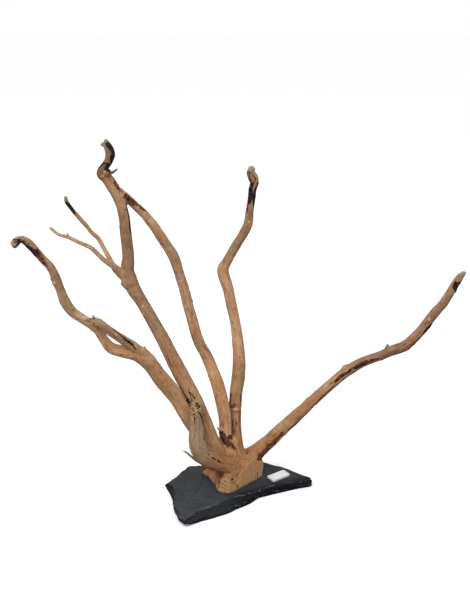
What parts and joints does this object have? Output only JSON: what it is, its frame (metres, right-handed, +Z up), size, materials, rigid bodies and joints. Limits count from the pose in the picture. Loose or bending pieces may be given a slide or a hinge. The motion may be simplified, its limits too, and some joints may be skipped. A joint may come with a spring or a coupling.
{
  "type": "driftwood branch on a slate plate",
  "caption": "Branching root-type driftwood with long thin limbs rising from a sawn stump, screwed upright to a rough slate plate.",
  "frame": {"origin": "middle of the slate's flat underside, which rests on the surface", "axes": "+Z up, +X to the right and +Y away from the front, with the sawn stump facing the front"},
  "size_m": [0.5912, 0.2075, 0.5114],
  "materials": {
    "wood": "bare scrubbed driftwood, matte, with dark bark remnants",
    "weathered_wood": "weathered grey-tan wood, matte",
    "slate": "riven slate, matte with pale chipped edges",
    "screw": "bright zinc",
    "label": "satin white paper"
  },
  "bodies": {
    "root": {"stump": "wood", "left_limb": "wood", "left_strand": "wood", "tall_limb": "wood", "high_twig": "wood", "low_twig": "wood", "arch_limb": "wood", "upright_limb": "wood", "right_limb": "wood", "front_stub": "weathered_wood", "rootlet": "wood", "slate": "slate", "screw": "screw", "label": "label"}
  },
  "joints": []
}
